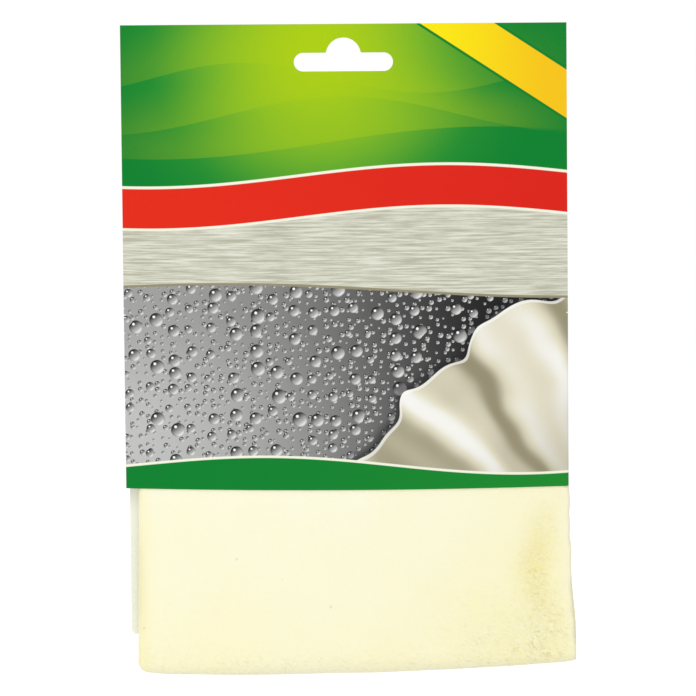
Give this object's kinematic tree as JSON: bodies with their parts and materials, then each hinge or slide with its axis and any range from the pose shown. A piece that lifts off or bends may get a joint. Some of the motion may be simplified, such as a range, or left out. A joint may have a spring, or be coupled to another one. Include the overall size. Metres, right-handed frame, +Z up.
{
  "type": "chamois leather in a hanging card sleeve",
  "caption": "Natural chamois skin folded into a flat packet and held in a printed card sleeve, with a tall header and a hang slot for a shop peg.",
  "frame": {"origin": "top of the hang slot's hump, in the middle of the board, where a shop peg carries the card", "axes": "+Z up along the hanging card, +X to the right of the printed front, +Y out of the back; the front faces -Y"},
  "size_m": [0.1451, 0.0149, 0.2118],
  "materials": {
    "printed_board": "coated board, printed and gloss varnished on the outside",
    "bare_board": "unprinted off-white board",
    "seam_adhesive": "thin dried film of adhesive",
    "chamois": "soft oil-tanned suede, napped on both faces"
  },
  "bodies": {
    "card": {"front_panel": "printed_board", "left_spine": "printed_board", "right_spine": "printed_board", "back_panel": "bare_board", "glue_flap": "bare_board", "seam_glue": "seam_adhesive"},
    "skin": {"chamois_skin": "chamois"}
  },
  "joints": [
    {"name": "skin_pull", "type": "slide", "parent": "card", "child": "skin", "axis": [0, 0, -1], "range_m": [0, 0.172]}
  ]
}
